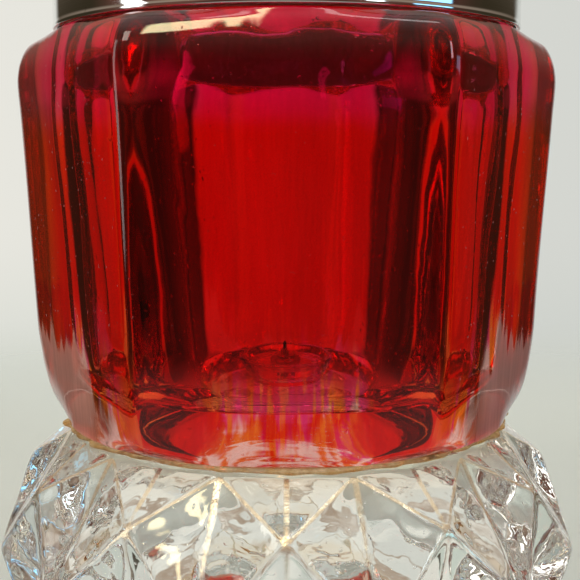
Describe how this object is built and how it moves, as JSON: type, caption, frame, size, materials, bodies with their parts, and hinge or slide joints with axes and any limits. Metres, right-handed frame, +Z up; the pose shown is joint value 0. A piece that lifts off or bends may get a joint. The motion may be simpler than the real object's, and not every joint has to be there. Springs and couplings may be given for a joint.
{
  "type": "sanctuary lamp",
  "caption": "Free-standing sanctuary lamp: six-sided ruby glass bowl on a faceted clear glass foot, chrome collar, hinged vented lid and a small oil light.",
  "frame": {"origin": "centre of the foot's resting plane, on the lamp's axis", "axes": "+Z up along the lamp's axis; -Y is the front, where the lid's thumb tab is; the lid hinge is at +Y; one flat of the bowl faces -Y"},
  "size_m": [0.1004, 0.1004, 0.178],
  "materials": {
    "clear_glass": "pressed, fire-polished, faintly warm clear glass",
    "ruby_glass": "ruby-stained pressed glass, glossy, stain brushed thin at the lower edge",
    "amber_bond": "glossy amber resin cement, uneven",
    "plaster": "matt brown bedding plaster",
    "chrome": "polished chrome plate, fine wipe marks",
    "steel": "plain steel, lightly heat tinted",
    "brass": "dull brass",
    "oil": "clear pale lamp oil",
    "cork": "cork, slightly oiled",
    "cotton": "braided cotton"
  },
  "bodies": {
    "base": {"clear_glass_foot": "clear_glass", "waist_cement_ring": "amber_bond", "ruby_glass_bowl": "ruby_glass", "collar_bedding_ring": "plaster", "neck_collar": "chrome", "collar_hinge_bracket": "chrome", "hinge_pin": "steel"},
    "lid": {"lid_shell": "chrome", "lid_hinge_leaf": "chrome", "lid_thumb_tab": "chrome", "heat_shield": "steel", "smoke_canopy": "chrome", "canopy_post_1": "chrome", "canopy_post_2": "chrome", "canopy_post_3": "chrome", "canopy_nut_1": "chrome", "canopy_nut_2": "chrome", "canopy_nut_3": "chrome", "finial_knob": "chrome", "finial_screw": "steel"},
    "oil_light": {"oil_glass": "clear_glass", "lamp_oil": "oil"},
    "wick_carrier": {"wick_float": "cork", "wick_tube": "brass"},
    "wick_strand": {"wick": "cotton"}
  },
  "joints": [
    {"name": "lid_hinge", "type": "hinge", "parent": "base", "child": "lid", "pos_m": [0, 0.0442, 0.1262], "axis": [-1, 0, 0], "range_deg": [0, 105]},
    {"name": "oil_glass_lift", "type": "slide", "parent": "base", "child": "oil_light", "axis": [0, 0, 1], "range_m": [0, 0.045]},
    {"name": "float_lift", "type": "slide", "parent": "oil_light", "child": "wick_carrier", "axis": [0, 0, 1], "range_m": [0, 0.008]},
    {"name": "wick_feed", "type": "slide", "parent": "wick_carrier", "child": "wick_strand", "axis": [0, 0, 1], "range_m": [0, 0.002]}
  ]
}
